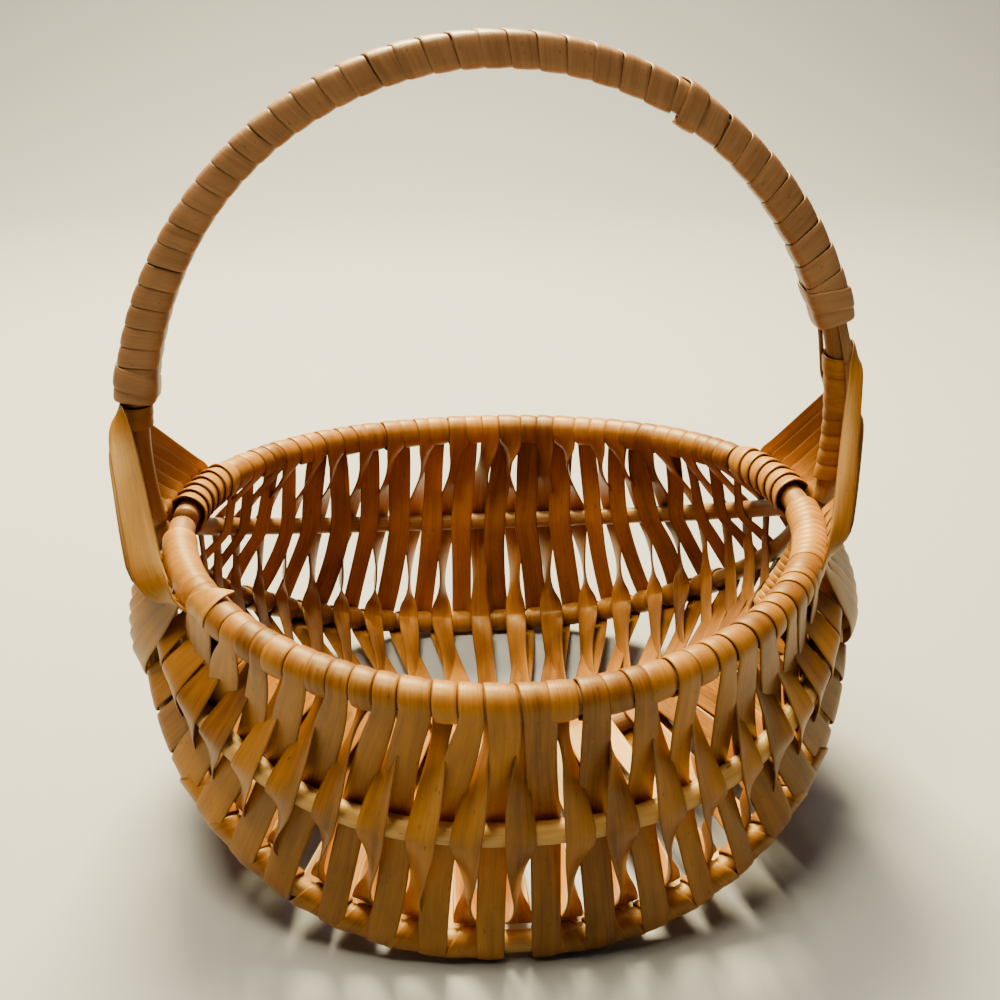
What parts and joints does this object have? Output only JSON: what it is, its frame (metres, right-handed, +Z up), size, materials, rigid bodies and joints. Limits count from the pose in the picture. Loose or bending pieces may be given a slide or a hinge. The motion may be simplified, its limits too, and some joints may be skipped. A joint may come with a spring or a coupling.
{
  "type": "melon basket",
  "caption": "Small woven melon basket: crossed rim and handle hoops lashed at two ears, ribs, and flat splints woven over and under them, with a bound arched handle",
  "frame": {"origin": "centre of the bottom, on the table under the middle splint", "axes": "+Z up through the handle, X along the line between the ears with the handle in the XZ plane, front of the basket towards -Y"},
  "size_m": [0.2246, 0.1966, 0.2363],
  "materials": {
    "hoop": "satin",
    "rib": "satin",
    "binding": "satin",
    "lashing": "satin",
    "weaver": "satin"
  },
  "bodies": {
    "root": {"rim_hoop": "hoop", "handle_hoop": "hoop", "rib_upper_front": "rib", "rib_lower_front": "rib", "rib_lower_back": "rib", "rib_upper_back": "rib", "handle_stake_left": "hoop", "handle_stake_right_inner": "hoop", "handle_stake_right_outer": "hoop", "handle_binding_left": "binding", "handle_binding_right": "binding", "ear_lashing_left": "lashing", "ear_lashing_right": "lashing", "weaver_1": "weaver", "weaver_2": "weaver", "weaver_3": "weaver", "weaver_4": "weaver", "weaver_5": "weaver", "weaver_6": "weaver", "weaver_7": "weaver", "weaver_8": "weaver", "weaver_9": "weaver"}
  },
  "joints": []
}
